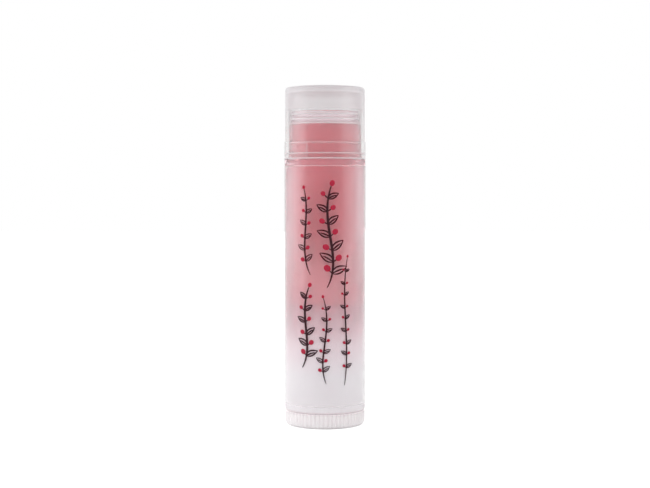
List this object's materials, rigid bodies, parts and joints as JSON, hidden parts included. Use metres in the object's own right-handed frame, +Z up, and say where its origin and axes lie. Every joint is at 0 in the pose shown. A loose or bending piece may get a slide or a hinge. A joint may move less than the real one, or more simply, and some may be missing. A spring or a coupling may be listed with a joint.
{
  "type": "lip balm stick",
  "caption": "Twist-up lip balm stick: frosted translucent tube with a push-on cap, a fluted dial at the base, and a lead screw that lifts the pink balm.",
  "frame": {"origin": "centre of the dial's resting face, at the bottom of the tube", "axes": "+Z up the tube's axis towards the cap, -Y towards the front where the print is centred, +X to the right seen from the front"},
  "size_m": [0.0162, 0.0162, 0.0664],
  "materials": {
    "cap_plastic": "natural polypropylene, translucent, satin moulded",
    "barrel_plastic": "natural polypropylene, translucent, satin moulded",
    "label_film": "clear glossy film with a printed sprig",
    "elevator_plastic": "natural polypropylene, translucent",
    "balm_wax": "poured wax and oil balm, raspberry pink, soft sheen",
    "wheel_plastic": "natural polypropylene, translucent, fluted edge"
  },
  "bodies": {
    "tube": {"barrel": "barrel_plastic", "label": "label_film"},
    "cap": {"cap": "cap_plastic"},
    "wheel": {"thumbwheel": "wheel_plastic"},
    "carrier": {"elevator": "elevator_plastic", "balm": "balm_wax"}
  },
  "joints": [
    {"name": "wheel_turn", "type": "hinge", "parent": "tube", "child": "wheel", "pos_m": [0, 0, 0], "axis": [0, 0, 1], "range_deg": [0, 4050]},
    {"name": "elevator_lift", "type": "slide", "parent": "tube", "child": "carrier", "axis": [0, 0, 1], "range_m": [0, 0.0052]},
    {"name": "cap_pull", "type": "slide", "parent": "tube", "child": "cap", "axis": [0, 0, 1], "range_m": [0, 0.03]}
  ],
  "couplings": [
    {"joint": "wheel_turn", "follows": "elevator_lift", "rad_per_m": 1963.5}
  ]
}
